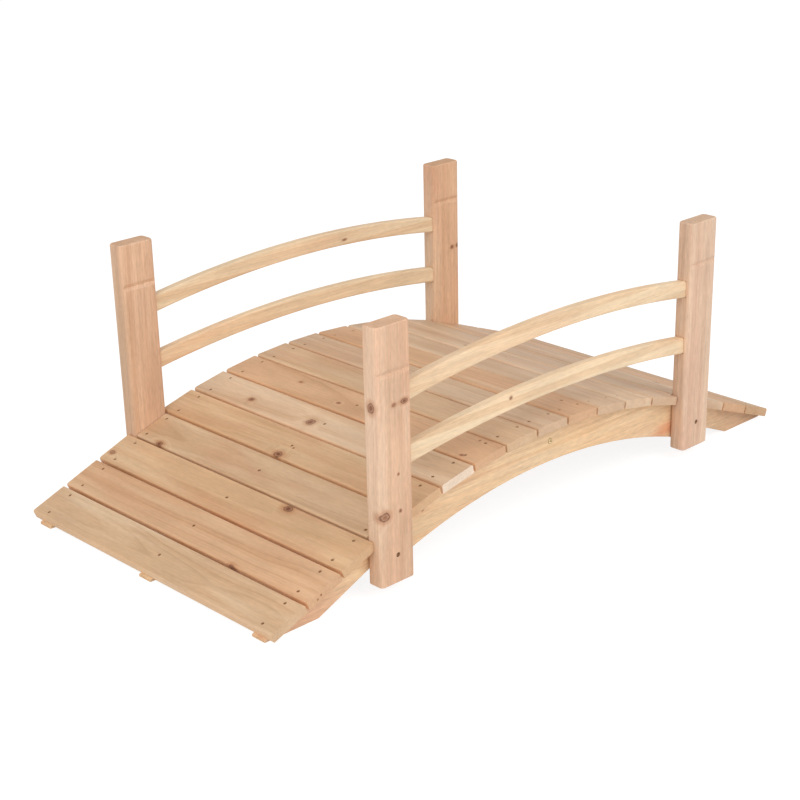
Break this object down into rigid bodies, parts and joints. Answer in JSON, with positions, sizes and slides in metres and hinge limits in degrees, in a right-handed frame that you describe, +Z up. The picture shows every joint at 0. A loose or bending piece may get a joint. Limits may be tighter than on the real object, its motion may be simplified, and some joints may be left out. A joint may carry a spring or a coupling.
{
  "type": "garden moon bridge",
  "caption": "Arched wooden garden footbridge with a fanned plank deck, straight end ramps, rounded posts and paired curved handrails on both sides",
  "frame": {"origin": "on the ground, below the middle of the span and midway between the railings", "axes": "+X along the span towards the right-hand ramp, +Y across the deck towards the far railing, +Z up"},
  "size_m": [1.5112, 0.812, 0.543],
  "materials": {
    "deck_wood": "bare planed softwood boards, greyish tan with darker grain and small knots",
    "beam_wood": "bare planed softwood, yellow tan",
    "post_wood": "bare sanded softwood, pinkish tan, straight grain with a few dark knots",
    "rail_wood": "bare sanded softwood, yellow tan, grain cut across by the arch"
  },
  "bodies": {
    "root": {"deck_board_01": "deck_wood", "deck_board_02": "deck_wood", "deck_board_03": "deck_wood", "deck_board_04": "deck_wood", "deck_board_05": "deck_wood", "deck_board_06": "deck_wood", "deck_board_07": "deck_wood", "deck_board_08": "deck_wood", "deck_board_09": "deck_wood", "deck_board_10": "deck_wood", "deck_board_11": "deck_wood", "deck_board_12": "deck_wood", "deck_board_13": "deck_wood", "deck_board_14": "deck_wood", "deck_board_15": "deck_wood", "deck_board_16": "deck_wood", "deck_board_17": "deck_wood", "stringer_near": "beam_wood", "stringer_centre": "beam_wood", "stringer_far": "beam_wood", "brace_near": "beam_wood", "brace_far": "beam_wood", "post_left_near": "post_wood", "post_right_near": "post_wood", "post_left_far": "post_wood", "post_right_far": "post_wood", "rail_upper_near": "rail_wood", "rail_lower_near": "rail_wood", "rail_upper_far": "rail_wood", "rail_lower_far": "rail_wood"}
  },
  "joints": []
}
